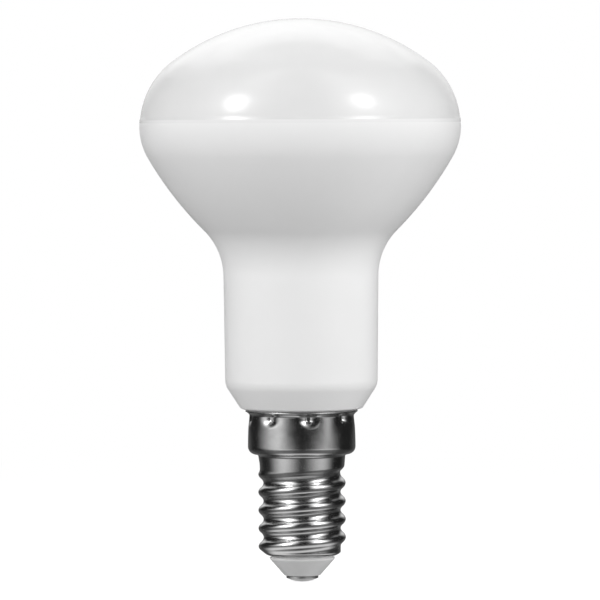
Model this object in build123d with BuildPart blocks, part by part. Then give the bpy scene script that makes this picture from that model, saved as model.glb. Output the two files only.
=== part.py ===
from build123d import *
from math import acos, asin, cos, degrees, radians, sin, tan
import os

# Reflector bulb: a white moulded head with a shallow dome, on a small screw cap.
# Sizes are in millimetres and angles in degrees.
# The origin is the tip of the centre contact, and +Z runs up the axis to the dome.

# Heights of the visible pieces, stacked from the contact's tip to the top of the dome
contact_height = 1.0
insulator_height = 3.1
shell_height = 22.75
housing_height = 45.15
diffuser_height = 15.65

# Head outline: the widest circle lies just below the seam between dome and housing
head_diameter = 50.0
widest_drop = 1.0
shoulder_radius = 12.5
seam_ledge = 0.1
rim_radius = 10.0
rim_turn = 30.0
bowl_turn = 45.0
throat_radius = 10.0

# Neck and the tapered foot that stands on the cap
neck_diameter = 24.1
neck_draft = 0.65
foot_height = 3.85
foot_diameter = 19.0
foot_radius = 3.0
foot_edge_radius = 0.5

# Locating plug of the diffuser in the housing's rim
rim_wall = 2.2
rim_edge = 0.33
plug_depth = 2.0
plug_clearance = 0.15

# Screw shell: drawn sheet with a flared flange and a collar
sheet = 0.35
flange_diameter = 17.7
flange_edge = 0.12
flare_turn = 70.0
collar_top_diameter = 16.5
collar_diameter = 16.76
collar_height = 6.95
collar_land = 2.4
collar_corner_radius = 1.2
shoulder_flat = 0.02
barrel_diameter = 13.7
barrel_chamfer = 0.3
barrel_run_out = 3.8

# Rolled round thread and the lip that closes the shell's lower end
thread_diameter = 13.6
thread_depth = 0.8
thread_pitch = 2.822
thread_root_land = 0.076
lip_diameter = 10.8
lip_slope = 38.0
lip_depth = 0.75

# Punch marks that pin the collar in a groove of the housing's spigot
crimp_count = 8
crimp_sides = 4
crimp_turn = -83.3
crimp_drop = 1.3
crimp_diameter = 1.1
crimp_tip_diameter = 0.3
crimp_depth = 0.5
spigot_length = 5.5
spigot_clearance = 0.1

# Insulator: a cone with a groove that the lip is rolled into, and a plug inside the shell
insulator_diameter = 10.24
insulator_tip_diameter = 5.6
insulator_land = 0.32
insulator_groove_gap = 0.28
insulator_groove_depth = 0.3
insulator_clearance = 0.05
insulator_plug_height = 3.6

# Centre contact: a shallow button on a pressed-in shank
contact_diameter = 5.0
contact_dome = 0.6
shank_diameter = 1.8
shank_length = 3.5
shank_clearance = 0.05

# Levels and radii that more than one piece uses
insulator_level = contact_height
lip_level = insulator_level + insulator_height
lip_seat_level = lip_level + lip_depth
flange_level = lip_level + shell_height
crimp_level = flange_level - crimp_drop
seam_level = flange_level + housing_height
widest_level = seam_level - widest_drop
head_r = head_diameter / 2
seam_lean = degrees(asin(widest_drop / shoulder_radius))
seam_inset = shoulder_radius * (1 - cos(radians(seam_lean)))
recess_r = head_r - rim_wall
collar_top_r = collar_top_diameter / 2
collar_bore_r = collar_top_r - sheet
crimp_tip_r = collar_top_r - crimp_depth
spigot_r = collar_bore_r - spigot_clearance
thread_r = thread_diameter / 2
root_r = thread_r - thread_depth
thread_bore_r = root_r - sheet
insulator_r = insulator_diameter / 2
insulator_neck_r = insulator_r - insulator_groove_depth
shank_r = shank_diameter / 2


# Diffuser: a shoulder arc that runs into the crown arc, with a locating plug below the seam
diffuser_r = head_r - seam_ledge
diffuser_seam_r = diffuser_r - seam_inset
plug_r = recess_r - plug_clearance
plug_level = seam_level - plug_depth
crown_offset = diffuser_r - shoulder_radius
crown_rise = diffuser_height + widest_drop
crown_radius = (crown_offset**2 + crown_rise**2 - shoulder_radius**2) / (2 * (crown_rise - shoulder_radius))
crown_turn = degrees(asin(crown_offset / (crown_radius - shoulder_radius)))

with BuildPart() as diffuser_dome:
    with BuildSketch(Plane.XZ):
        with BuildLine():
            shoulder = JernArc(
                (diffuser_seam_r, seam_level),
                (-sin(radians(seam_lean)), cos(radians(seam_lean))),
                shoulder_radius,
                90 - seam_lean - crown_turn,
            )
            crown = JernArc(shoulder @ 1, shoulder % 1, crown_radius, crown_turn)
            Polyline(
                crown @ 1,
                (0, plug_level),
                (plug_r, plug_level),
                (plug_r, seam_level),
                (diffuser_seam_r, seam_level),
            )
        make_face()
    revolve(axis=Axis.Z)
diffuser_dome.part.label = "diffuser_dome"


# Housing: rim, bowl, throat and neck in one smooth line, then the tapered foot and its spigot
bowl_radius = (
    head_r
    - neck_diameter / 2
    - rim_radius * (1 - cos(radians(rim_turn)))
    - throat_radius * (cos(radians(neck_draft)) - cos(radians(bowl_turn)))
) / (cos(radians(rim_turn)) - cos(radians(bowl_turn)))
housing_seam_r = head_r - seam_inset
recess_level = plug_level - plug_clearance
foot_level = flange_level + foot_height
spigot_level = flange_level - spigot_length
groove_r = crimp_tip_r - sheet - spigot_clearance
groove_mouth = crimp_diameter / 2 + sheet + spigot_clearance
groove_floor = crimp_tip_diameter / 2 + sheet + spigot_clearance

with BuildPart() as reflector_housing:
    with BuildSketch(Plane.XZ):
        with BuildLine():
            rim = JernArc((head_r, widest_level), (0, -1), rim_radius, -rim_turn)
            bowl = JernArc(rim @ 1, rim % 1, bowl_radius, rim_turn - bowl_turn)
            throat = JernArc(bowl @ 1, bowl % 1, throat_radius, bowl_turn - neck_draft)
            neck_end = throat @ 1
            neck_foot_r = neck_end.X - (neck_end.Y - foot_level) * tan(radians(neck_draft))
            foot = FilletPolyline(
                neck_end,
                (neck_foot_r, foot_level),
                (foot_diameter / 2, flange_level),
                (spigot_r, flange_level),
                radius=(foot_radius, foot_edge_radius),
            )
            inside = Polyline(
                foot @ 1,
                (spigot_r, crimp_level + groove_mouth),
                (groove_r, crimp_level + groove_floor),
                (groove_r, crimp_level - groove_floor),
                (spigot_r, crimp_level - groove_mouth),
                (spigot_r, spigot_level),
                (0, spigot_level),
                (0, recess_level),
                (recess_r, recess_level),
                (recess_r, seam_level),
                (diffuser_seam_r, seam_level),
            )
            rim_round = TangentArc((housing_seam_r, seam_level - rim_edge), inside @ 1, tangent=(0, 1))
            Line(rim_round @ 0, rim @ 0)
        make_face()
    revolve(axis=Axis.Z)
reflector_housing.part.label = "reflector_housing"


# Thread ridge: a crest arc that meets a hollow root arc of the same radius on each flank.
# It starts one pitch below the lip and ends inside the collar, where both ends are cut away.
knuckle_radius = (thread_pitch**2 / 16 + thread_depth**2 / 4) / thread_depth
flank_turn = degrees(asin(thread_pitch / 4 / knuckle_radius))
root_gap_turn = degrees(acos(1 - thread_root_land / knuckle_radius)) / 2
core_r = root_r + thread_root_land
ridge_base_r = root_r - sheet / 2
ridge_level = lip_level - thread_pitch
shoulder_level = flange_level - collar_height
bore_top_level = shoulder_level + sheet
ridge_height = bore_top_level + thread_pitch / 2 - ridge_level

with BuildPart() as thread_ridge:
    with BuildLine() as thread_path:
        Helix(thread_pitch, ridge_height, core_r, center=(0, 0, ridge_level))
    with BuildSketch(Plane.XZ):
        with BuildLine():
            crest = JernArc((thread_r, ridge_level), (0, 1), knuckle_radius, flank_turn)
            root = JernArc(crest @ 1, crest % 1, knuckle_radius, root_gap_turn - flank_turn)
            root_end = root @ 1
            Polyline(root_end, (ridge_base_r, root_end.Y), (ridge_base_r, ridge_level))
            mirror(about=Plane.XZ.offset(-ridge_level))
        make_face()
    sweep(path=thread_path.line, is_frenet=True)


# Punch marks: a faceted dent from outside, inside a bump that is one sheet thicker all round
def crimp_pyramid(tip_diameter, mouth_diameter, length):
    with BuildPart() as pyramid:
        with BuildSketch(Plane.YZ):
            RegularPolygon(tip_diameter / 2, crimp_sides)
        with BuildSketch(Plane.YZ.offset(length)):
            RegularPolygon(mouth_diameter / 2, crimp_sides)
        loft(ruled=True)
    return pyramid.part


crimp_slope = (crimp_diameter - crimp_tip_diameter) / crimp_depth
crimp_reach = crimp_depth + sheet
crimp_dent = crimp_pyramid(crimp_tip_diameter, crimp_tip_diameter + crimp_slope * crimp_reach, crimp_reach)
crimp_bump = crimp_pyramid(
    crimp_tip_diameter + 2 * sheet, crimp_diameter + 2 * sheet, crimp_depth + sheet / 2
)


# Screw shell: the drawn form with the ridge on it, trimmed by the sloping lip, then hollowed
flange_r = flange_diameter / 2
collar_r = collar_diameter / 2
barrel_r = barrel_diameter / 2
corner_radius = min(collar_corner_radius, collar_r - barrel_r - barrel_chamfer - shoulder_flat)
flare_radius = (flange_r - collar_top_r) / (1 - cos(radians(flare_turn)))
flare_level = flange_level - flange_edge - flare_radius * sin(radians(flare_turn))
land_level = shoulder_level + corner_radius + collar_land
lip_r = lip_diameter / 2
lip_rise = (flange_r - lip_r) * tan(radians(lip_slope))
lip_bore_r = insulator_neck_r + insulator_clearance

with BuildPart() as screw_shell:
    with BuildSketch(Plane.XZ):
        with BuildLine():
            flare = JernArc((collar_top_r, flare_level), (0, 1), flare_radius, -flare_turn)
            drawn = FilletPolyline(
                flare @ 0,
                (collar_r, land_level),
                (collar_r, shoulder_level),
                (barrel_r + barrel_chamfer, shoulder_level),
                (barrel_r, shoulder_level - barrel_chamfer),
                (core_r, shoulder_level - barrel_run_out),
                (core_r, lip_level),
                (0, lip_level),
                radius=(0, corner_radius, 0, 0, 0, 0),
            )
            Polyline(drawn @ 1, (0, flange_level), (flange_r, flange_level), flare @ 1)
        make_face()
    revolve(axis=Axis.Z)
    add(thread_ridge.part)
    with BuildSketch(Plane.XZ):
        with BuildLine():
            Polyline(
                (0, lip_level),
                (lip_r, lip_level),
                (flange_r, lip_level + lip_rise),
                (flange_r, flange_level),
                (0, flange_level),
                close=True,
            )
        make_face()
    revolve(axis=Axis.Z, mode=Mode.INTERSECT)
    with BuildSketch(Plane.XZ):
        with BuildLine():
            Polyline(
                (0, lip_level),
                (lip_bore_r, lip_level),
                (lip_bore_r, lip_seat_level),
                (thread_bore_r, lip_seat_level),
                (thread_bore_r, bore_top_level),
                (collar_bore_r, bore_top_level),
                (collar_bore_r, flange_level),
                (0, flange_level),
                close=True,
            )
        make_face()
    revolve(axis=Axis.Z, mode=Mode.SUBTRACT)
    with Locations((0, 0, crimp_level)):
        with PolarLocations(crimp_tip_r - sheet, crimp_count, start_angle=crimp_turn):
            add(crimp_bump)
        with PolarLocations(crimp_tip_r, crimp_count, start_angle=crimp_turn):
            add(crimp_dent, mode=Mode.SUBTRACT)
screw_shell.part.label = "screw_shell"


# Insulator: the cone and its land, the groove and neck that the lip grips, and the plug above it
shank_bore_r = shank_r + shank_clearance
plug_top_level = lip_seat_level + insulator_plug_height
insulator_plug_r = thread_bore_r - insulator_clearance
land_top_level = lip_level - insulator_groove_gap
cone_top_level = land_top_level - insulator_land

with BuildPart() as base_insulator:
    with BuildSketch(Plane.XZ):
        with BuildLine():
            Polyline(
                (shank_bore_r, insulator_level),
                (insulator_tip_diameter / 2, insulator_level),
                (insulator_r, cone_top_level),
                (insulator_r, land_top_level),
                (insulator_neck_r, land_top_level),
                (insulator_neck_r, lip_seat_level),
                (insulator_plug_r, lip_seat_level),
                (insulator_plug_r, plug_top_level),
                (shank_bore_r, plug_top_level),
                close=True,
            )
        make_face()
    revolve(axis=Axis.Z)
base_insulator.part.label = "base_insulator"


# Centre contact: the button's shallow dome, its upright edge and the shank in the insulator
contact_r = contact_diameter / 2
dome_radius = (contact_r**2 + contact_dome**2) / (2 * contact_dome)
dome_turn = degrees(asin(contact_r / dome_radius))
shank_top_level = insulator_level + shank_length

with BuildPart() as centre_contact:
    with BuildSketch(Plane.XZ):
        with BuildLine():
            button = JernArc((0, 0), (1, 0), dome_radius, dome_turn)
            Polyline(
                button @ 1,
                (contact_r, insulator_level),
                (shank_r, insulator_level),
                (shank_r, shank_top_level),
                (0, shank_top_level),
                (0, 0),
            )
        make_face()
    revolve(axis=Axis.Z)
centre_contact.part.label = "centre_contact"


os.makedirs("parts", exist_ok=True)
export_step(diffuser_dome.part, "parts/diffuser_dome.step")
export_step(reflector_housing.part, "parts/reflector_housing.step")
export_step(screw_shell.part, "parts/screw_shell.step")
export_step(base_insulator.part, "parts/base_insulator.step")
export_step(centre_contact.part, "parts/centre_contact.step")
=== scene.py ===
import math

import bpy
from mathutils import Matrix, Vector


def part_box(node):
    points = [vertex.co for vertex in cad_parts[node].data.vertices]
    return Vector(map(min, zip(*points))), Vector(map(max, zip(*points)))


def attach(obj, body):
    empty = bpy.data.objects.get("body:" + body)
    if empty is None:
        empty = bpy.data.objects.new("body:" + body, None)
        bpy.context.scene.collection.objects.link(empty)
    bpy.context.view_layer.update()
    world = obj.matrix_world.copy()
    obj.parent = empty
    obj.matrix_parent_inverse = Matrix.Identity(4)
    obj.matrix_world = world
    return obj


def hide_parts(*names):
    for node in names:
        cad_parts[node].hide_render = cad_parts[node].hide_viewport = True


# A reflector bulb with an opal dome, a satin white housing and a plated screw cap.
# Every length is in metres: MM turns a size in millimetres into metres.
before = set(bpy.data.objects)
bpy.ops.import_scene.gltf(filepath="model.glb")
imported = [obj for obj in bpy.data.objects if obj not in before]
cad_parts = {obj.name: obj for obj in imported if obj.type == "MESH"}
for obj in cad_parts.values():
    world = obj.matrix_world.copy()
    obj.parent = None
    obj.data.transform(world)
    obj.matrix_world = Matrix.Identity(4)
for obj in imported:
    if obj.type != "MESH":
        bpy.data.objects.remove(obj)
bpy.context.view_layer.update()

MM = 0.001
DEG = math.pi / 180

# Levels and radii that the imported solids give
contact_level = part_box("centre_contact")[0].z
insulator_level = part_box("base_insulator")[0].z
lip_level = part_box("screw_shell")[0].z
flange_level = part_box("screw_shell")[1].z
flange_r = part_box("screw_shell")[1].x
spigot_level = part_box("reflector_housing")[0].z
seam_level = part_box("reflector_housing")[1].z
head_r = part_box("reflector_housing")[1].x
plug_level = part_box("diffuser_dome")[0].z
apex_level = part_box("diffuser_dome")[1].z


# Outlines and lathes

SHARP_ANGLE = 40 * DEG
LATHE_SEGMENTS = 256


class Outline:
    """A lathe outline in (r, z), drawn by a pen that makes straight runs and tangent arcs."""

    def __init__(self, r, z):
        self.points = [(r, z)]

    def line(self, *points):
        self.points.extend(points)

    def arc(self, heading, radius, turn, steps):
        """Starts along heading and turns left by turn, or right if it is negative, in radians."""
        side = math.copysign(1, turn)
        r, z = self.points[-1]
        centre_r = r - side * radius * math.sin(heading)
        centre_z = z + side * radius * math.cos(heading)
        for step in range(1, steps + 1):
            angle = heading + turn * step / steps
            self.points.append(
                (centre_r + side * radius * math.sin(angle), centre_z - side * radius * math.cos(angle))
            )
        return heading + turn

    def rounded(self, *corners, steps=6):
        """Runs through corners of (r, z, radius), each rounded by an arc that touches both of its runs."""
        for (r, z, radius), (next_r, next_z, _) in zip(corners, corners[1:]):
            start = Vector(self.points[-1])
            corner = Vector((r, z))
            into = (corner - start).normalized()
            out = (Vector((next_r, next_z)) - corner).normalized()
            turn = math.atan2(into.x * out.y - into.y * out.x, into.dot(out))
            if radius:
                self.points.append(tuple(corner - into * radius * abs(math.tan(turn / 2))))
                self.arc(math.atan2(into.y, into.x), radius, turn, steps)
            else:
                self.points.append((r, z))
        self.points.append(corners[-1][:2])


def mesh_piece(name, rings, material, node, closed=False):
    """Skins rings of points and lets the mesh stand for a CAD node.

    All rings have the same number of points, apart from a pole, which is a ring of one point.
    """
    vertices = [point for ring in rings for point in ring]
    starts = [0]
    for ring in rings:
        starts.append(starts[-1] + len(ring))
    joins = [(k, k + 1) for k in range(len(rings) - 1)]
    if closed:
        joins.append((len(rings) - 1, 0))
    faces = []
    for low, high in joins:
        count = max(len(rings[low]), len(rings[high]))
        for i in range(count):
            j = (i + 1) % count
            if len(rings[low]) == 1:
                faces.append((starts[low], starts[high] + j, starts[high] + i))
            elif len(rings[high]) == 1:
                faces.append((starts[low] + i, starts[low] + j, starts[high]))
            else:
                faces.append((starts[low] + i, starts[low] + j, starts[high] + j, starts[high] + i))
    mesh = bpy.data.meshes.new(name)
    mesh.from_pydata(vertices, [], faces)
    mesh.validate()
    mesh.shade_smooth()
    mesh.set_sharp_from_angle(angle=SHARP_ANGLE)
    mesh.materials.append(material)
    piece = bpy.data.objects.new(name, mesh)
    bpy.context.scene.collection.objects.link(piece)
    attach(piece, "root")
    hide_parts(node)


def ring_at(r, z, angles):
    if r == 0:
        return [(0, 0, z)]
    return [(r * math.cos(a), r * math.sin(a), z) for a in angles]


def lathe(name, outline, material, node, closed=False):
    angles = [2 * math.pi * i / LATHE_SEGMENTS for i in range(LATHE_SEGMENTS)]
    rings = [ring_at(r, z, angles) for r, z in outline.points]
    mesh_piece(name, rings, material, node, closed)


def ease(value, start, end):
    """0 at start and before it, 1 at end and past it, and a smooth step between."""
    share = min(1, max(0, (value - start) / (end - start)))
    return share * share * (3 - 2 * share)


# Materials

NOISE_LOW = 0.3
NOISE_HIGH = 0.7
POLISH_START = seam_level - 0.6 * MM
POLISH_END = seam_level - 0.4 * MM
POLISH_GAIN = 0.15


class Shader:
    """The node tree of a material or world, with short calls for making and joining nodes."""

    def __init__(self, owner):
        self.owner = owner
        owner.use_nodes = True
        self.nodes = owner.node_tree.nodes
        self.links = owner.node_tree.links

    @classmethod
    def for_piece(cls, name):
        made = cls(bpy.data.materials.new(name))
        made.bsdf = made.nodes["Principled BSDF"]
        return made

    @classmethod
    def for_stage(cls, name):
        made = cls(bpy.data.materials.new(name))
        made.nodes.remove(made.nodes["Principled BSDF"])
        made.owner.cycles.emission_sampling = "NONE"
        return made

    def node(self, kind, **inputs):
        made = self.nodes.new("ShaderNode" + kind)
        for name, value in inputs.items():
            self.set(made, name.replace("_", " "), value)
        return made

    def set(self, node, socket, value):
        target = node.inputs[socket]
        if isinstance(value, bpy.types.NodeSocket):
            self.links.new(value, target)
        else:
            target.default_value = value

    def math(self, operation, first, second=0.0):
        made = self.nodes.new("ShaderNodeMath")
        made.operation = operation
        self.set(made, 0, first)
        self.set(made, 1, second)
        return made.outputs[0]

    def product(self, first, *others):
        for other in others:
            first = self.math("MULTIPLY", first, other)
        return first

    def total(self, first, *others):
        for other in others:
            first = self.math("ADD", first, other)
        return first

    def place(self):
        return self.node("TexCoord").outputs["Object"]

    def axes(self):
        return self.node("SeparateXYZ", Vector=self.place()).outputs

    def from_axis(self):
        axes = self.axes()
        across = self.product(axes["X"], axes["X"])
        along = self.product(axes["Y"], axes["Y"])
        return self.math("SQRT", self.total(across, along))

    def bearing(self):
        """Angle about the axis: 0 on the photograph's side, growing towards +X."""
        axes = self.axes()
        return self.math("ARCTAN2", axes["X"], self.product(axes["Y"], -1.0))

    def ease(self, value, start, end):
        """0 at start and before it, 1 at end and past it, and a smooth step between."""
        made = self.node("MapRange", Value=value, From_Min=start, From_Max=end, To_Min=0.0, To_Max=1.0)
        made.interpolation_type = "SMOOTHSTEP"
        return made.outputs["Result"]

    def noise(self, vector, size, detail=3.0, roughness=0.55):
        made = self.node("TexNoise", Vector=vector, Scale=1 / size, Detail=detail, Roughness=roughness)
        return made.outputs["Fac"]

    def spread(self, value, low, high):
        """Maps the range that noise mostly keeps to, onto the range from low to high."""
        made = self.node("MapRange", Value=value, To_Min=low, To_Max=high)
        self.set(made, "From Min", NOISE_LOW)
        self.set(made, "From Max", NOISE_HIGH)
        return made.outputs["Result"]

    def grey(self, value):
        made = self.node("CombineColor", Red=value, Green=value, Blue=value)
        return made.outputs["Color"]

    def bump(self, height, depth):
        made = self.node("Bump", Height=height, Strength=1.0, Distance=depth)
        return made.outputs["Normal"]

    def around(self, turn_scale, height_scale):
        """Cylinder coordinates about the axis, for marks that run round the piece."""
        turn = self.product(self.bearing(), turn_scale)
        height = self.product(self.axes()["Z"], height_scale)
        return self.node("CombineXYZ", X=turn, Y=0.0, Z=height).outputs["Vector"]


def opal_plastic():
    """Glossy opal moulding: light enters it a little, and its skin is gently uneven."""
    s = Shader.for_piece("opal_plastic")
    place = s.place()
    cloud = s.noise(place, 14 * MM)
    s.set(s.bsdf, "Base Color", s.grey(s.spread(cloud, 0.75, 0.775)))
    s.set(s.bsdf, "Roughness", s.spread(s.noise(place, 6 * MM), 0.17, 0.22))
    s.set(s.bsdf, "IOR", 1.5)
    s.set(s.bsdf, "Specular IOR Level", 0.42)
    s.set(s.bsdf, "Subsurface Weight", 0.2)
    s.set(s.bsdf, "Subsurface Radius", (1.0, 1.0, 1.0))
    s.set(s.bsdf, "Subsurface Scale", 0.4 * MM)
    s.set(s.bsdf, "Normal", s.bump(s.noise(place, 3.5 * MM, detail=1.0), 0.006 * MM))
    return s.owner


def satin_plastic():
    """White moulding with a fine even spark texture, and a polished edge at the seam."""
    s = Shader.for_piece("satin_plastic")
    place = s.place()
    satin = s.spread(s.noise(place, 5 * MM), 0.29, 0.34)
    polish = s.ease(s.axes()["Z"], POLISH_START, POLISH_END)
    s.set(s.bsdf, "Base Color", s.grey(s.spread(s.noise(place, 18 * MM), 0.82, 0.85)))
    s.set(s.bsdf, "Roughness", s.math("SUBTRACT", satin, s.product(polish, POLISH_GAIN)))
    s.set(s.bsdf, "IOR", 1.5)
    s.set(s.bsdf, "Specular IOR Level", 0.35)
    s.set(s.bsdf, "Normal", s.bump(s.noise(place, 0.25 * MM, detail=2.0), 0.003 * MM))
    return s.owner


def plated_metal():
    """Nickel plate over drawn sheet: drawing lines round the axis and a faint cloudy haze."""
    s = Shader.for_piece("plated_metal")
    lines = s.noise(s.around(0.6, 1 / (0.09 * MM)), 1.0, detail=4.0, roughness=0.7)
    haze = s.noise(s.place(), 1.6 * MM)
    s.set(s.bsdf, "Base Color", s.grey(s.spread(haze, 0.6, 0.68)))
    s.set(s.bsdf, "Metallic", 1.0)
    s.set(s.bsdf, "Roughness", s.spread(haze, 0.16, 0.22))
    s.set(s.bsdf, "Normal", s.bump(lines, 0.0012 * MM))
    return s.owner


def grey_insulator():
    """Pale grey moulded insulator with a dry satin skin."""
    s = Shader.for_piece("grey_insulator")
    place = s.place()
    s.set(s.bsdf, "Base Color", s.grey(s.spread(s.noise(place, 2.5 * MM), 0.63, 0.68)))
    s.set(s.bsdf, "Roughness", s.spread(s.noise(place, 1.2 * MM), 0.42, 0.55))
    s.set(s.bsdf, "Normal", s.bump(s.noise(place, 0.2 * MM), 0.006 * MM))
    return s.owner


def contact_metal():
    """Stamped contact: a little duller than the shell, with small pits from handling."""
    s = Shader.for_piece("contact_metal")
    place = s.place()
    haze = s.noise(place, 0.9 * MM)
    pits = s.noise(place, 0.18 * MM, detail=2.0)
    s.set(s.bsdf, "Base Color", s.grey(s.spread(haze, 0.5, 0.62)))
    s.set(s.bsdf, "Metallic", 1.0)
    s.set(s.bsdf, "Roughness", s.spread(haze, 0.29, 0.38))
    s.set(s.bsdf, "Normal", s.bump(pits, 0.008 * MM))
    return s.owner


# Diffuser dome: a small bead at the seam, then a shoulder arc that runs into the crown arc.
# Its plug sits in the housing's rim.

widest_drop = 1.0 * MM
shoulder_radius = 12.5 * MM
seam_ledge = 0.1 * MM
rim_wall = 2.2 * MM
plug_clearance = 0.15 * MM
plug_edge = 0.12 * MM
bead_height = 0.6 * MM
bead_width = 0.09 * MM
BEAD_STEPS = 6

recess_r = head_r - rim_wall


def shoulder_lean(rise):
    """How far the dome's wall leans in at a height above the seam."""
    return math.asin((widest_drop + rise) / shoulder_radius)


def shoulder_r(rise):
    """Radius of the dome's wall, without the bead, at a height above the seam."""
    return head_r - seam_ledge - shoulder_radius * (1 - math.cos(shoulder_lean(rise)))


bead_r = shoulder_r(0) + bead_width


def build_dome():
    plug_r = recess_r - plug_clearance
    offset = head_r - seam_ledge - shoulder_radius
    height = apex_level - seam_level + widest_drop
    crown_radius = (offset**2 + height**2 - shoulder_radius**2) / (2 * (height - shoulder_radius))
    crown_turn = math.asin(offset / (crown_radius - shoulder_radius))
    outline = Outline(0, plug_level)
    outline.rounded(
        (plug_r, plug_level, plug_edge),
        (plug_r, seam_level, 0),
        (bead_r, seam_level, 0),
    )
    for step in range(1, BEAD_STEPS + 1):
        share = step / BEAD_STEPS
        rise = bead_height * share
        outline.line((shoulder_r(rise) + bead_width * (1 - share) ** 2, seam_level + rise))
    heading = math.pi / 2 + shoulder_lean(bead_height)
    heading = outline.arc(heading, shoulder_radius, math.pi - crown_turn - heading, steps=40)
    outline.arc(heading, crown_radius, crown_turn, steps=28)
    outline.points[-1] = (0, apex_level)
    lathe("dome_shell", outline, opal_plastic(), "diffuser_dome")


# Reflector housing: rim, bowl, throat and neck in one line, then the foot and the spigot in the cap

widest_level = seam_level - widest_drop
rim_radius = 10 * MM
rim_turn = 30 * DEG
bowl_turn = 45 * DEG
throat_radius = 10 * MM
neck_r = 12.05 * MM
neck_draft = 0.65 * DEG
foot_level = flange_level + 3.85 * MM
foot_r = 9.5 * MM
foot_radius = 3 * MM
foot_edge_radius = 0.5 * MM
foot_rise = 0.22 * MM
rim_edge = 0.6 * MM
flange_tip_r = flange_r - 0.1 * MM
collar_bore_r = 7.9 * MM
spigot_r = collar_bore_r - 0.1 * MM
spigot_groove_r = 6.95 * MM
spigot_groove_top = flange_level - 0.4 * MM
spigot_groove_bottom = flange_level - 3.1 * MM


def build_housing():
    bowl_radius = (
        head_r
        - neck_r
        - rim_radius * (1 - math.cos(rim_turn))
        - throat_radius * (math.cos(neck_draft) - math.cos(bowl_turn))
    ) / (math.cos(rim_turn) - math.cos(bowl_turn))
    recess_level = plug_level - plug_clearance
    ledge_turn = math.acos(1 - (seam_ledge - bead_width) / rim_edge)
    outline = Outline(0, recess_level)
    outline.line((recess_r, recess_level), (recess_r, seam_level), (bead_r, seam_level))
    outline.arc(ledge_turn - math.pi / 2, rim_edge, -ledge_turn, steps=6)
    outline.line((head_r, widest_level))
    heading = outline.arc(-math.pi / 2, rim_radius, -rim_turn, steps=14)
    heading = outline.arc(heading, bowl_radius, rim_turn - bowl_turn, steps=14)
    outline.arc(heading, throat_radius, bowl_turn - neck_draft, steps=18)
    neck_top_r, neck_top_level = outline.points[-1]
    neck_end_r = neck_top_r - (neck_top_level - foot_level) * math.tan(neck_draft)
    outline.rounded(
        (neck_end_r, foot_level, foot_radius),
        (foot_r, flange_level + foot_rise, foot_edge_radius),
        (flange_tip_r, flange_level, 0),
        (spigot_r, flange_level, 0),
        (spigot_r, spigot_groove_top, 0),
        (spigot_groove_r, spigot_groove_top, 0),
        (spigot_groove_r, spigot_groove_bottom, 0),
        (spigot_r, spigot_groove_bottom, 0),
        (spigot_r, spigot_level, 0),
        (0, spigot_level, 0),
        steps=10,
    )
    lathe("housing_shell", outline, satin_plastic(), "reflector_housing")


# Screw shell: flare, collar with punch marks, shoulder, barrel, rolled thread and lip

sheet = 0.35 * MM
flange_round = 0.22 * MM
flange_tip_round = 0.12 * MM
flange_slope = 50 * DEG
cove_slope = 39 * DEG
cove_r = 8.4 * MM
cove_radius = 0.3 * MM
collar_top_r = 8.17 * MM
collar_r = 8.38 * MM
collar_corner = 1.2 * MM
shoulder_level = flange_level - 6.95 * MM
barrel_r = 6.75 * MM
barrel_corner = 0.42 * MM
barrel_waist_r = 6.6 * MM
waist_level = shoulder_level - 2.4 * MM
crest_end_level = shoulder_level - 3.2 * MM
groove_end_level = shoulder_level - 1.4 * MM
groove_fade = 1.4 * MM
thread_r = 6.8 * MM
thread_depth = 0.8 * MM
thread_pitch = 2.822 * MM
thread_blend = 0.12 * MM
run_out_start = shoulder_level - 3.1 * MM
run_out_end = shoulder_level - 2.55 * MM
run_out_lead = 0.9 * MM
ridge_end_level = lip_level + 0.2 * MM
ridge_fade = 1.0 * MM
lip_r = 5.4 * MM
lip_slope = 38 * DEG
lip_edge = 0.25 * MM
lip_bore_r = 4.87 * MM
lip_seat_level = lip_level + 0.75 * MM
thread_bore_r = 5.65 * MM

crimp_count = 8
crimp_turn = -82.3 * DEG
crimp_level = flange_level - 1.4 * MM
crimp_fade_start = flange_level - 0.24 * MM
crimp_fade_end = flange_level - 0.72 * MM
slot_half_width = 0.26 * MM
slot_top = crimp_level + 0.55 * MM
slot_bottom = crimp_level + 0.05 * MM
dish_r = 1.85 * MM
dish_depth = 0.58 * MM
DISH_POWER = 2.0
DISH_SQUASH = 1.35

SECTOR_STEPS = 40
SECTOR_CROWDING = 0.6
THREAD_ROW = 0.11 * MM
COLLAR_ROW = 0.1 * MM


def shell_angles():
    """Angles round the shell, crowded towards the punch marks."""
    sector = 2 * math.pi / crimp_count
    angles = []
    for k in range(crimp_count):
        for i in range(SECTOR_STEPS):
            u = i / SECTOR_STEPS
            eased = u - SECTOR_CROWDING * math.sin(2 * math.pi * u) / (2 * math.pi)
            angles.append(crimp_turn + sector * (k + eased))
    return angles


def smooth_min(a, b, blend):
    """The smaller of two values, with a rounded change from one to the other."""
    h = max(blend - abs(a - b), 0) / blend
    return min(a, b) - h * h * blend / 4


def crest_radius(angle, z):
    """Radius over the crests: the thread's own, then a slight waist that widens into the barrel.

    The last crest stands out from the waist where it starts, and sinks into the barrel as it climbs.
    """
    share = (z - waist_level) / (shoulder_level - barrel_corner - waist_level)
    barrel = barrel_waist_r + (barrel_r - barrel_waist_r) * share
    bulge = (thread_r - barrel) * ease(z, waist_level, crest_end_level)
    turn = angle / (2 * math.pi)
    crest = math.floor((z + run_out_lead - lip_level) / thread_pitch - turn)
    crest_level = lip_level + thread_pitch * (crest + turn)
    near_crest = ease(z - crest_level, -run_out_lead, -run_out_lead / 3)
    return barrel + bulge * (1 - near_crest * ease(crest_level, run_out_start, run_out_end))


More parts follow.
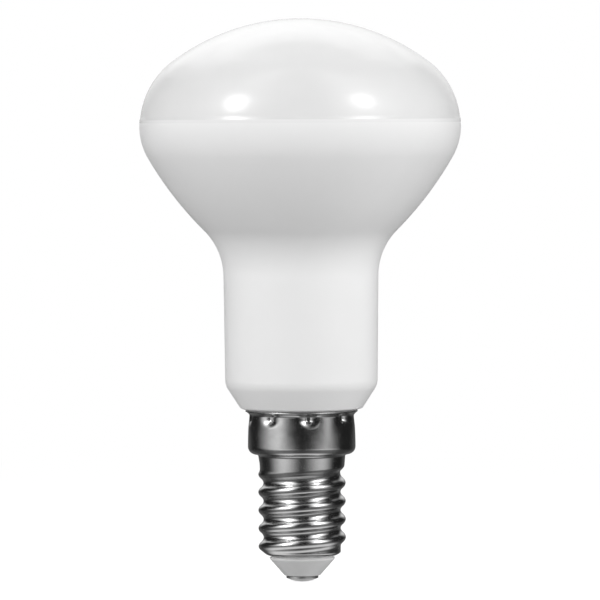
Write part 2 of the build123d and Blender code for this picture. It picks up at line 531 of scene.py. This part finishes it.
def groove_depth(angle, z):
    """Round thread: half way between arcs of one radius and a plain wave. Both of its ends run out."""
    knuckle = (thread_pitch**2 / 16 + thread_depth**2 / 4) / thread_depth
    turns = (z - lip_level) / thread_pitch - angle / (2 * math.pi)
    from_crest = abs(turns - round(turns)) * thread_pitch
    from_root = thread_pitch / 2 - from_crest
    if from_crest < from_root:
        arcs = knuckle - math.sqrt(knuckle**2 - from_crest**2)
    else:
        arcs = thread_depth - knuckle + math.sqrt(knuckle**2 - from_root**2)
    wave = thread_depth * (1 - math.cos(2 * math.pi * turns)) / 2
    depth = (arcs + wave) / 2
    crest_level = z + (round(turns) - turns) * thread_pitch
    ridge = (thread_depth - depth) * ease(crest_level, ridge_end_level, ridge_end_level + ridge_fade)
    root_level = z + (math.floor(turns) + 0.5 - turns) * thread_pitch
    return (thread_depth - ridge) * ease(root_level, groove_end_level, groove_end_level - groove_fade)


def lip_limit(z):
    """The rolled-in lip: a slope with a rounded lower edge, which the thread runs into."""
    rise = z - lip_level
    return lip_r + rise / math.tan(lip_slope) - lip_edge * max(0, 1 - rise / lip_edge) ** 2


def crimp_dent(angle, z):
    """Depth of the punch marks: a short upright flat whose sides rise steeply, then run out softly."""
    sector = 2 * math.pi / crimp_count
    turn = (angle - crimp_turn) / sector
    across = (turn - round(turn)) * sector * collar_top_r
    along = (z - min(max(z, slot_bottom), slot_top)) * DISH_SQUASH
    out = max(0, math.hypot(across, along) - slot_half_width)
    dish = max(0, 1 - out / dish_r) ** DISH_POWER
    return dish_depth * dish * ease(z, crimp_fade_start, crimp_fade_end)


def build_shell():
    angles = shell_angles()
    rings = []

    # Outside, from the lip up: thread and barrel
    barrel_top = shoulder_level - barrel_corner
    rows = round((barrel_top - lip_level) / THREAD_ROW)
    for row in range(rows + 1):
        z = lip_level + (barrel_top - lip_level) * row / rows
        ring = []
        for a in angles:
            r = smooth_min(crest_radius(a, z) - groove_depth(a, z), lip_limit(z), thread_blend)
            ring.append((r * math.cos(a), r * math.sin(a), z))
        rings.append(ring)

    # Shoulder, collar and flare
    outline = Outline(barrel_r, barrel_top)
    outline.arc(math.pi / 2, barrel_corner, -math.pi / 2, steps=8)
    outline.line((collar_r - collar_corner, shoulder_level))
    outline.arc(0, collar_corner, math.pi / 2, steps=12)
    collar_level = shoulder_level + collar_corner
    tip_level = flange_level - flange_round - flange_tip_round * math.tan(flange_slope / 2)
    slope_level = tip_level - (flange_tip_r - cove_r) / math.tan(flange_slope)
    cove_level = slope_level - (cove_r - collar_top_r) / math.tan(cove_slope)
    flare_level = cove_level - cove_radius * math.tan(cove_slope / 2)
    rows = round((flare_level - collar_level) / COLLAR_ROW)
    for row in range(1, rows):
        share = row / rows
        z = collar_level + (flare_level - collar_level) * share
        outline.line((collar_r + (collar_top_r - collar_r) * share**2, z))
    outline.rounded(
        (collar_top_r, cove_level, cove_radius),
        (cove_r, slope_level, cove_radius),
        (flange_tip_r, tip_level, flange_tip_round),
        (flange_tip_r, flange_level, flange_round),
        (collar_bore_r, flange_level, 0),
    )

    # Inside: bores that the spigot and the insulator's plug fill
    bore_top = shoulder_level + sheet
    rows = round((flange_level - bore_top) / (2 * COLLAR_ROW))
    for row in range(1, rows + 1):
        outline.line((collar_bore_r, flange_level + (bore_top - flange_level) * row / rows))
    outline.line((thread_bore_r, bore_top), (thread_bore_r, lip_seat_level))
    outline.line((lip_bore_r, lip_seat_level), (lip_bore_r, lip_level))
    for r, z in outline.points[1:]:
        ring = []
        for a in angles:
            dented = r - crimp_dent(a, z)
            ring.append((dented * math.cos(a), dented * math.sin(a), z))
        rings.append(ring)
    mesh_piece("screw_cap_shell", rings, plated_metal(), "screw_shell", closed=True)


# Insulator: cone, groove and land below the lip, neck and plug inside the shell

insulator_r = 5.12 * MM
insulator_tip_r = 2.8 * MM
insulator_land = 0.32 * MM
land_draft = 0.14 * MM
insulator_groove = 0.28 * MM
insulator_groove_depth = 0.3 * MM
plug_top_level = lip_seat_level + 3.6 * MM
insulator_plug_r = thread_bore_r - 0.05 * MM
shank_r = 0.9 * MM
shank_bore_r = shank_r + 0.05 * MM
small_edge = 0.08 * MM


def build_insulator():
    land_top = lip_level - insulator_groove
    cone_top = land_top - insulator_land
    groove_r = insulator_r - insulator_groove_depth
    outline = Outline(shank_bore_r, insulator_level)
    outline.rounded(
        (insulator_tip_r, insulator_level, 2 * small_edge),
        (insulator_r - land_draft, cone_top, small_edge),
        (insulator_r, land_top, small_edge),
        (groove_r, land_top, small_edge / 2),
        (groove_r, lip_seat_level, 0),
        (insulator_plug_r, lip_seat_level, 0),
        (insulator_plug_r, plug_top_level, 0),
        (shank_bore_r, plug_top_level, 0),
    )
    material = grey_insulator()
    lathe("insulator_cone", outline, material, "base_insulator", closed=True)


# Centre contact: a shallow dome with an upright edge, on a shank in the insulator

contact_r = 2.5 * MM
contact_dome = 0.6 * MM
shank_top_level = insulator_level + 3.5 * MM
contact_edge = 0.12 * MM


def build_contact():
    dome_radius = (contact_r**2 + contact_dome**2) / (2 * contact_dome)
    dome_turn = math.asin(contact_r / dome_radius)
    outline = Outline(0, contact_level)
    outline.arc(0, dome_radius, dome_turn, steps=14)
    outline.rounded(
        (contact_r, insulator_level, contact_edge),
        (shank_r, insulator_level, 0),
        (shank_r, shank_top_level, 0),
        (0, shank_top_level, 0),
    )
    lathe("contact_button", outline, contact_metal(), "centre_contact")


# Studio: a white ground that keeps the shadow, soft lamps, and a dark drum that only reflections show,
# with painted reflections of lamp halos, lit bands and a white backdrop on it and on a floor card

CAMERA_DISTANCE = 0.85
CAMERA_HEIGHT = 72 * MM
FRAME_WIDTH = 93.3 * MM
AIM_HEIGHT = 43.88 * MM
AIM_SIDE = -0.16 * MM
CAMERA_ROLL = -0.29 * DEG
LAMP_DISTANCE = 0.6
LAMP_TARGET = Vector((0, 0, 75 * MM))
REAR_SIZES = (36, 54, 72)
REAR_STRETCH = 1.1
DRUM_RADIUS = 0.8
DRUM_HEIGHT = 1.2
DRUM_DARK = 0.018
CEILING_GREY = 0.06
HALO_TOP = 0.65
CARD_LIFT = 0.05 * MM
STAGE_SEGMENTS = 96

# Painted reflections of soft upright glows left and right of the bulb, on the drum, ceiling and floor
# card: bearing, fade before and after it in degrees, brightness
LAMP_HALOS = ((-48, 44, 32, 2.6), (46, 29, 44, 2.6))
WALL_BANDS = ((-52, 62, 30, 0.78), (58, 16, 19, 0.55))
FAR_BANDS = ((-57, 58, 54, 0.75), (52, 40, 40, 0.45))
NEAR_BANDS = ((-47, 52, 52, 0.88), (52, 58, 44, 0.78))

# Soft steps from nothing at the first value to all at the second. Heights on the drum:
HALO_RISE = (0.12, 0.32)
HALO_DIMMING = (0.6, 0.95)
FOOT_FALL = (0.05, 0.0)
WALL_RISE = (0.0, 0.05)
WALL_FALL = (0.3, 0.12)
BACKDROP_RISE = (-0.05, 0.3)
WIDE_BACKDROP_RISE = (0.45, 0.85)

# Bearings in degrees, on either side:
BACKDROP_EDGE = (140, 165)
WIDE_BACKDROP_EDGE = (120, 165)
RING_EDGE = (120, 70)
REAR_EDGE = (120, 160)

# Distances from the axis on the floor card:
FAR_START = (100 * MM, 300 * MM)
NEAR_END = (300 * MM, 100 * MM)
BAND_START = (63 * MM, 88 * MM)
RING_START = (6 * MM, 8.5 * MM)
RING_END = (20 * MM, 9 * MM)
POOL_END = (4 * MM, 2.5 * MM)
HAZE_END = (90 * MM, 40 * MM)

# Brightness of the painted reflections that the floor card shows
BAND_LEAST = 0.17
RING_GLOW = 0.72
POOL_GLOW = 0.45
HAZE_GLOW = 0.04
REAR_GLOW = 0.1

# The floor is paler near the bulb, and fades to white over these shares of its radius
PALE_END = (45 * MM, 22 * MM)
PALE_LIFT = 0.2
WHITE_START = 0.06
WHITE_END = 0.5


def seen_directly(s):
    """1 for what the camera sees, straight or in a reflection, and 0 for light on matt surfaces."""
    path = s.node("LightPath").outputs
    seen = s.math("MAXIMUM", path["Is Camera Ray"], path["Is Glossy Ray"])
    return s.math("MAXIMUM", seen, path["Is Transmission Ray"])


def build_world(ambient):
    world = bpy.data.worlds.new("studio")
    bpy.context.scene.world = world
    s = Shader(world)
    soft = s.nodes["Background"]
    s.set(soft, "Color", (ambient, ambient, ambient, 1))
    white = s.node("Background", Color=(1, 1, 1, 1))
    mix = s.node("MixShader", Fac=seen_directly(s))
    s.links.new(soft.outputs[0], mix.inputs[1])
    s.links.new(white.outputs[0], mix.inputs[2])
    s.links.new(mix.outputs[0], s.nodes["World Output"].inputs["Surface"])


def stage_piece(name, points, faces, s):
    mesh = bpy.data.meshes.new(name)
    mesh.from_pydata(points, [], faces)
    mesh.materials.append(s.owner)
    made = bpy.data.objects.new(name, mesh)
    bpy.context.scene.collection.objects.link(made)
    return made


def disc(radius, level):
    points = []
    for i in range(STAGE_SEGMENTS):
        a = 2 * math.pi * i / STAGE_SEGMENTS
        points.append((radius * math.cos(a), radius * math.sin(a), level))
    return points, [tuple(range(STAGE_SEGMENTS))]


def build_floor(radius, colour, glow):
    """A pale disc: matt near the bulb, where the shadow falls, and plain white towards its edge."""
    s = Shader.for_stage("floor")
    pale = s.product(s.ease(s.from_axis(), *PALE_END), PALE_LIFT)
    matt = s.node("BsdfDiffuse", Color=s.grey(s.total(pale, colour)))
    direct = seen_directly(s)
    lift = s.node("Emission", Strength=s.product(direct, glow))
    lit = s.node("AddShader")
    s.links.new(matt.outputs[0], lit.inputs[0])
    s.links.new(lift.outputs[0], lit.inputs[1])
    white = s.node("Emission", Strength=1.0)
    fade = s.ease(s.from_axis(), WHITE_START * radius, WHITE_END * radius)
    mix = s.node("MixShader", Fac=s.product(fade, direct))
    s.links.new(lit.outputs[0], mix.inputs[1])
    s.links.new(white.outputs[0], mix.inputs[2])
    s.links.new(mix.outputs[0], s.nodes["Material Output"].inputs["Surface"])
    stage_piece("floor", *disc(radius, contact_level), s)


def painted_reflection_card(name, points, faces, s, brightness):
    """A card that shows in glossy surfaces only: no camera, shadow or matt surface meets it. Its glow is a
    painted reflection, not a lamp.
    """
    glow = s.node("Emission", Strength=brightness)
    s.links.new(glow.outputs[0], s.nodes["Material Output"].inputs["Surface"])
    made = stage_piece(name, points, faces, s)
    made.visible_camera = False
    made.visible_diffuse = False
    made.visible_shadow = False
    made.visible_transmission = False


def bearing_glow(s, centre, before, after, brightness):
    """A soft upright band: bright at one bearing and fading to nothing over an angle on either side."""
    bearing = s.bearing()
    rise = s.ease(bearing, (centre - before) * DEG, centre * DEG)
    fall = s.ease(bearing, (centre + after) * DEG, centre * DEG)
    return s.product(rise, fall, brightness)


def lamp_glow(s, bands):
    """Painted light: what the two lamps light up at one height or distance, by bearing alone."""
    return s.total(*[bearing_glow(s, *band) for band in bands])


def behind(s, start, end):
    """A soft step between two bearings, the same on both sides: 0 is the photograph's side."""
    return s.ease(s.math("ABSOLUTE", s.bearing()), start * DEG, end * DEG)


def build_drum():
    """A dark wall with painted reflections on it: a soft halo round each lamp, lit bands low down, and a
    white backdrop behind the bulb.
    """
    points = []
    for i in range(STAGE_SEGMENTS):
        a = 2 * math.pi * i / STAGE_SEGMENTS
        for z in (0, DRUM_HEIGHT):
            points.append((DRUM_RADIUS * math.sin(a), -DRUM_RADIUS * math.cos(a), z))
    count = len(points)
    faces = [(k, k + 1, (k + 3) % count, (k + 2) % count) for k in range(0, count, 2)]
    s = Shader.for_stage("drum")
    height = s.axes()["Z"]
    # Painted reflections: lamp halos, lit bands at the foot and a white backdrop behind
    dimming = s.product(s.ease(height, *HALO_DIMMING), HALO_TOP - 1)
    halo = s.product(lamp_glow(s, LAMP_HALOS), s.total(s.ease(height, *HALO_RISE), dimming))
    foot = s.product(lamp_glow(s, FAR_BANDS), s.ease(height, *FOOT_FALL))
    wall = s.product(lamp_glow(s, WALL_BANDS), s.ease(height, *WALL_RISE), s.ease(height, *WALL_FALL))
    near = s.product(behind(s, *BACKDROP_EDGE), s.ease(height, *BACKDROP_RISE))
    wide = s.product(behind(s, *WIDE_BACKDROP_EDGE), s.ease(height, *WIDE_BACKDROP_RISE))
    backdrop = s.math("MAXIMUM", near, wide)
    painted_reflection_card("drum", points, faces, s, s.total(backdrop, halo, foot, wall, DRUM_DARK))

    # The ceiling: painted reflections of the halos' tops over a faint grey
    s = Shader.for_stage("ceiling")
    brightness = s.total(s.product(lamp_glow(s, LAMP_HALOS), HALO_TOP), CEILING_GREY)
    painted_reflection_card("ceiling", *disc(DRUM_RADIUS, DRUM_HEIGHT), s, brightness)


def build_floor_card():
    """A painted reflection of the floor for polished metal: a painted light pool under the cap's contact,
    a bright ring round the cap in front, two soft bands beyond it, a faint glow and a glow behind. Painted
    shade: the bands dim close to the cap, and the gap between pool and ring stays dark.
    """
    s = Shader.for_stage("floor_card")
    out = s.from_axis()
    far = s.product(lamp_glow(s, FAR_BANDS), s.ease(out, *FAR_START))
    near = s.product(lamp_glow(s, NEAR_BANDS), s.ease(out, *NEAR_END))
    # Painted shade: the bands dim to BAND_LEAST of their brightness near the cap
    fade = s.total(s.product(s.ease(out, *BAND_START), 1 - BAND_LEAST), BAND_LEAST)
    bands = s.product(s.total(far, near), fade)
    # Painted light pool and ring; the dark gap between them is painted shade
    ring = s.product(s.ease(out, *RING_START), s.ease(out, *RING_END), behind(s, *RING_EDGE), RING_GLOW)
    pool = s.product(s.ease(out, *POOL_END), POOL_GLOW)
    haze = s.product(s.ease(out, *HAZE_END), HAZE_GLOW)
    rear = s.product(behind(s, *REAR_EDGE), REAR_GLOW)
    brightness = s.total(bands, ring, pool, haze, rear, DRUM_DARK)
    painted_reflection_card("floor_card", *disc(DRUM_RADIUS, contact_level + CARD_LIFT), s, brightness)


def from_bearing(azimuth, elevation, distance):
    """A place seen from the lamps' target: azimuth 0 is the camera's side, and it grows towards +X."""
    level = distance * math.cos(elevation)
    return LAMP_TARGET + Vector(
        (level * math.sin(azimuth), -level * math.cos(azimuth), distance * math.sin(elevation))
    )


def soft_lamp(name, azimuth, elevation, width, height, radiance, distance=LAMP_DISTANCE, reflected=True):
    """An oval soft lamp aimed at the head. Its place and its size are angles in degrees."""
    data = bpy.data.lights.new(name, "AREA")
    data.shape = "ELLIPSE"
    data.size = 2 * distance * math.tan(width * DEG / 2)
    data.size_y = 2 * distance * math.tan(height * DEG / 2)
    data.energy = radiance * math.pi * math.pi * data.size * data.size_y / 4
    lamp = bpy.data.objects.new(name, data)
    lamp.location = from_bearing(azimuth * DEG, elevation * DEG, distance)
    lamp.rotation_euler = (LAMP_TARGET - lamp.location).to_track_quat("-Z", "Y").to_euler()
    lamp.visible_camera = False
    lamp.visible_glossy = reflected
    bpy.context.scene.collection.objects.link(lamp)


def build_lamps():
    """Two key lamps, a rear lamp of nested ovals for a soft edge, and fills that no gloss shows."""
    soft_lamp("left_lamp", azimuth=-50, elevation=28.5, width=16, height=22, radiance=11.0)
    soft_lamp("right_lamp", azimuth=50, elevation=30.5, width=16, height=20, radiance=7.6)
    for size in REAR_SIZES:
        name = f"rear_lamp_{size}"
        distance = LAMP_DISTANCE - size * MM
        soft_lamp(name, -172, 56, size, REAR_STRETCH * size, radiance=0.44, distance=distance)
    soft_lamp("left_fill", -95, 5, width=50, height=50, radiance=2.85, reflected=False)
    soft_lamp("right_fill", 95, 5, width=50, height=50, radiance=2.8, reflected=False)
    soft_lamp("front_left_fill", -10, 10, width=36, height=14, radiance=5.1, reflected=False)
    soft_lamp("front_right_fill", 30, 10, width=36, height=14, radiance=8.3, reflected=False)


def build_camera():
    data = bpy.data.cameras.new("camera")
    data.lens = data.sensor_width * CAMERA_DISTANCE / FRAME_WIDTH
    camera = bpy.data.objects.new("camera", data)
    camera.location = (AIM_SIDE, -CAMERA_DISTANCE, CAMERA_HEIGHT)
    aim = Vector((AIM_SIDE, 0, AIM_HEIGHT)) - camera.location
    look = aim.to_track_quat("-Z", "Y").to_matrix() @ Matrix.Rotation(CAMERA_ROLL, 3, "Z")
    camera.rotation_euler = look.to_euler()
    bpy.context.scene.collection.objects.link(camera)
    bpy.context.scene.camera = camera


build_dome()
build_housing()
build_shell()
build_insulator()
build_contact()

build_camera()
build_world(ambient=0.11)
build_floor(radius=0.6, colour=0.35, glow=0.76)
build_drum()
build_floor_card()
build_lamps()
bpy.context.scene.view_settings.view_transform = "Standard"
